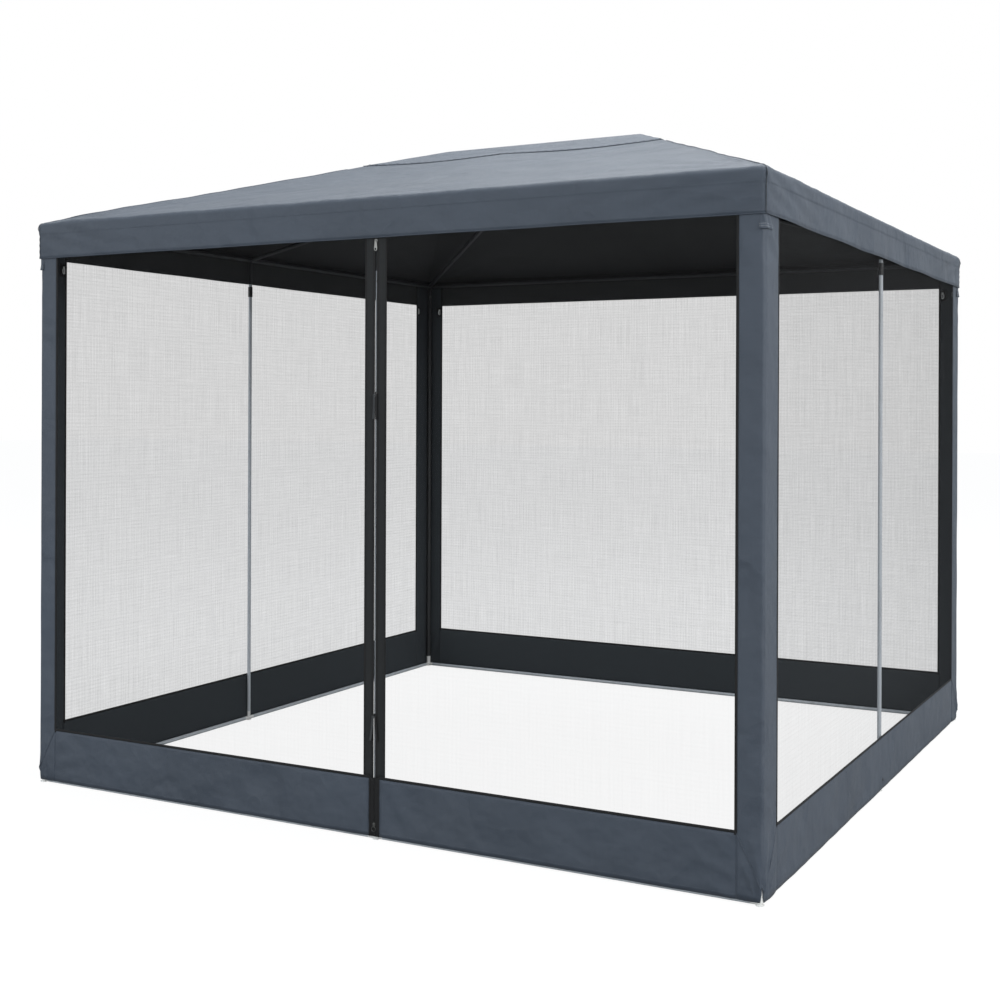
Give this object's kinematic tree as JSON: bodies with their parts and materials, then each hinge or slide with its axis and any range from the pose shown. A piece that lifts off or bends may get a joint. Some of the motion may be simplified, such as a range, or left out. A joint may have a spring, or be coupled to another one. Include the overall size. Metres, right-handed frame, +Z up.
{
  "type": "screen house",
  "caption": "Square screen house with a hipped fabric roof and valance, mesh walls over solid bottom bands, and a zipped doorway on a plug-together tube frame.",
  "frame": {"origin": "on the ground under the middle of the roof", "axes": "+Z up, the zipped doorway faces -Y, +X to the right when facing the doorway from outside"},
  "size_m": [3, 3, 2.6717],
  "materials": {
    "frame_tube": "light grey powder coat",
    "frame_fitting": "dark grey powder coat",
    "foot_plastic": "white moulded",
    "button_steel": "plain",
    "tie_plastic": "black moulded",
    "cover_fabric": "coated slate grey weave, near black inside",
    "mesh_fabric": "open insect mesh",
    "edge_fabric": "charcoal webbing",
    "hook_plastic": "white moulded",
    "zip_metal": "bright nickel",
    "zip_black": "black enamel"
  },
  "bodies": {
    "frame": {"band_back": "cover_fabric", "band_front_left": "cover_fabric", "band_front_right": "cover_fabric", "band_left": "cover_fabric", "band_right": "cover_fabric", "corner_connectors": "frame_fitting", "corner_feet": "foot_plastic", "corner_post_back_left": "frame_tube", "corner_post_back_right": "frame_tube", "corner_post_front_left": "frame_tube", "corner_post_front_right": "frame_tube", "corner_sleeve_back_left": "cover_fabric", "corner_sleeve_back_right": "cover_fabric", "corner_sleeve_front_left": "cover_fabric", "corner_sleeve_front_right": "cover_fabric", "corner_tabs": "cover_fabric", "eave_tubes_back": "frame_tube", "eave_tubes_front": "frame_tube", "eave_tubes_left": "frame_tube", "eave_tubes_right": "frame_tube", "ground_rail_back": "frame_tube", "ground_rail_front": "frame_tube", "ground_rail_left": "frame_tube", "ground_rail_right": "frame_tube", "mesh_back": "mesh_fabric", "mesh_front_left": "mesh_fabric", "mesh_front_right": "mesh_fabric", "mesh_left": "mesh_fabric", "mesh_right": "mesh_fabric", "mid_feet": "foot_plastic", "mid_post_front": "frame_tube", "mid_post_left": "frame_tube", "mid_post_right": "frame_tube", "mid_tees": "frame_fitting", "peak_hub": "frame_fitting", "post_ties": "tie_plastic", "rafters": "frame_tube", "ridge_cap": "cover_fabric", "ridge_tube": "frame_tube", "roof_cover": "cover_fabric", "wall_hooks": "hook_plastic"},
    "door_left": {"door_edge_left": "edge_fabric"},
    "door_right": {"door_edge_right": "edge_fabric"},
    "zip_top": {"zip_slider_top": "zip_metal"},
    "pull_top": {"zip_pull_top": "zip_metal"},
    "zip_middle": {"zip_slider_middle": "zip_black"},
    "pull_middle": {"zip_pull_middle": "edge_fabric"},
    "zip_lower": {"zip_slider_lower": "zip_black"},
    "pull_lower": {"zip_pull_lower": "edge_fabric"},
    "zip_base": {"zip_slider_base": "zip_metal"},
    "pull_base": {"zip_pull_base": "zip_metal"},
    "zip_left": {"zip_slider_left": "zip_metal"},
    "zip_right": {"zip_slider_right": "zip_metal"},
    "snap_back_left": {"snap_button_back_left": "button_steel"},
    "snap_back_right": {"snap_button_back_right": "button_steel"},
    "snap_front": {"snap_button_front": "button_steel"},
    "snap_front_left": {"snap_button_front_left": "button_steel"},
    "snap_front_right": {"snap_button_front_right": "button_steel"},
    "snap_left": {"snap_button_left": "button_steel"},
    "snap_right": {"snap_button_right": "button_steel"}
  },
  "joints": [
    {"name": "door_left_draw", "type": "slide", "parent": "frame", "child": "door_left", "axis": [-1, 0, 0], "range_m": [0, 1.25], "deforming": ["mesh_front_left", "band_front_left"]},
    {"name": "door_right_draw", "type": "slide", "parent": "frame", "child": "door_right", "axis": [1, 0, 0], "range_m": [0, 1.08], "deforming": ["mesh_front_right", "band_front_right"]},
    {"name": "zip_top_slide", "type": "slide", "parent": "door_left", "child": "zip_top", "axis": [0, 0, -1], "range_m": [0, 0.45]},
    {"name": "zip_middle_slide", "type": "slide", "parent": "door_left", "child": "zip_middle", "axis": [0, 0, -1], "range_m": [0, 0.95]},
    {"name": "zip_lower_slide", "type": "slide", "parent": "door_left", "child": "zip_lower", "axis": [0, 0, -1], "range_m": [0, 0.12]},
    {"name": "zip_base_slide", "type": "slide", "parent": "door_left", "child": "zip_base", "axis": [0, 0, 1], "range_m": [0, 0.12]},
    {"name": "zip_left_slide", "type": "slide", "parent": "frame", "child": "zip_left", "axis": [0, 0, 1], "range_m": [0, 0.13]},
    {"name": "zip_right_slide", "type": "slide", "parent": "frame", "child": "zip_right", "axis": [0, 0, 1], "range_m": [0, 0.13]},
    {"name": "pull_top_swing", "type": "hinge", "parent": "zip_top", "child": "pull_top", "pos_m": [0.1, -1.49675, 2.074], "axis": [-1, 0, 0], "range_deg": [0, 95]},
    {"name": "pull_middle_swing", "type": "hinge", "parent": "zip_middle", "child": "pull_middle", "pos_m": [0.1, -1.49675, 1.545], "axis": [-1, 0, 0], "range_deg": [0, 95]},
    {"name": "pull_lower_swing", "type": "hinge", "parent": "zip_lower", "child": "pull_lower", "pos_m": [0.1, -1.49675, 0.43], "axis": [-1, 0, 0], "range_deg": [0, 95]},
    {"name": "pull_base_swing", "type": "hinge", "parent": "zip_base", "child": "pull_base", "pos_m": [0.1, -1.49675, 0.052], "axis": [-1, 0, 0], "range_deg": [0, 95]},
    {"name": "snap_front_left_press", "type": "slide", "parent": "frame", "child": "snap_front_left", "axis": [-0.7071, -0.7071, 0], "range_m": [0, 0.0022], "stiffness_N_per_m": 400, "springref_m": -0.002},
    {"name": "snap_front_right_press", "type": "slide", "parent": "frame", "child": "snap_front_right", "axis": [0.7071, -0.7071, 0], "range_m": [0, 0.0022], "stiffness_N_per_m": 400, "springref_m": -0.002},
    {"name": "snap_back_right_press", "type": "slide", "parent": "frame", "child": "snap_back_right", "axis": [0.7071, 0.7071, 0], "range_m": [0, 0.0022], "stiffness_N_per_m": 400, "springref_m": -0.002},
    {"name": "snap_back_left_press", "type": "slide", "parent": "frame", "child": "snap_back_left", "axis": [-0.7071, 0.7071, 0], "range_m": [0, 0.0022], "stiffness_N_per_m": 400, "springref_m": -0.002},
    {"name": "snap_front_press", "type": "slide", "parent": "frame", "child": "snap_front", "axis": [0, 1, 0], "range_m": [0, 0.0022], "stiffness_N_per_m": 400, "springref_m": -0.002},
    {"name": "snap_left_press", "type": "slide", "parent": "frame", "child": "snap_left", "axis": [-1, 0, 0], "range_m": [0, 0.0022], "stiffness_N_per_m": 400, "springref_m": -0.002},
    {"name": "snap_right_press", "type": "slide", "parent": "frame", "child": "snap_right", "axis": [1, 0, 0], "range_m": [0, 0.0022], "stiffness_N_per_m": 400, "springref_m": -0.002}
  ]
}
